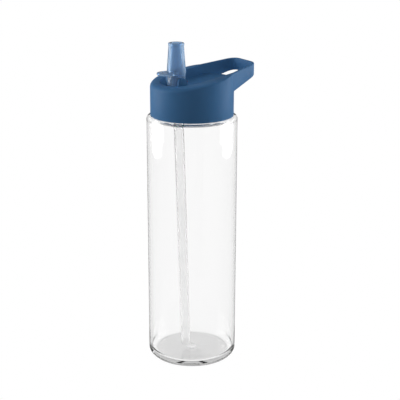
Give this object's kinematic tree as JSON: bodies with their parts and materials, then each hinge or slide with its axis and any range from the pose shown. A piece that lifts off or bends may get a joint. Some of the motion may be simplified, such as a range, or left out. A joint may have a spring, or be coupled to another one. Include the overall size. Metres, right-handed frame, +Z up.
{
  "type": "sports water bottle",
  "caption": "Clear cylindrical sports bottle with a blue screw lid, flip-up drinking spout with thumb tab, long straw and a carry loop.",
  "frame": {"origin": "on the bottle's axis, on the flat underside it stands on", "axes": "+Z up along the bottle's axis, +X towards the carry loop, +Y along the spout's hinge line"},
  "size_m": [0.0867, 0.072, 0.2617],
  "materials": {
    "clear_plastic": "clear gloss",
    "blue_plastic": "smooth satin gloss",
    "tinted_plastic": "translucent gloss",
    "frosted_plastic": "translucent frosted",
    "silicone": "matt silicone"
  },
  "bodies": {
    "bottle": {"bottle_body": "clear_plastic"},
    "gasket_ring": {"neck_gasket": "silicone"},
    "lid": {"cap_shell": "blue_plastic", "spout_seal": "silicone", "straw_connector": "silicone", "straw": "frosted_plastic", "vent_valve": "silicone"},
    "flip_spout": {"spout": "tinted_plastic"}
  },
  "joints": [
    {"name": "lid_rise", "type": "slide", "parent": "bottle", "child": "gasket_ring", "axis": [0, 0, 1], "range_m": [0, 0.00401]},
    {"name": "lid_turn", "type": "hinge", "parent": "gasket_ring", "child": "lid", "pos_m": [0, 0, 0.21], "axis": [0, 0, 1], "range_deg": [0, 360]},
    {"name": "spout_flip", "type": "hinge", "parent": "lid", "child": "flip_spout", "pos_m": [-0.0142, 0, 0.23183], "axis": [0, 1, 0], "range_deg": [0, 80]}
  ],
  "couplings": [
    {"joint": "lid_rise", "follows": "lid_turn", "m_per_rad": 0.00063662}
  ]
}
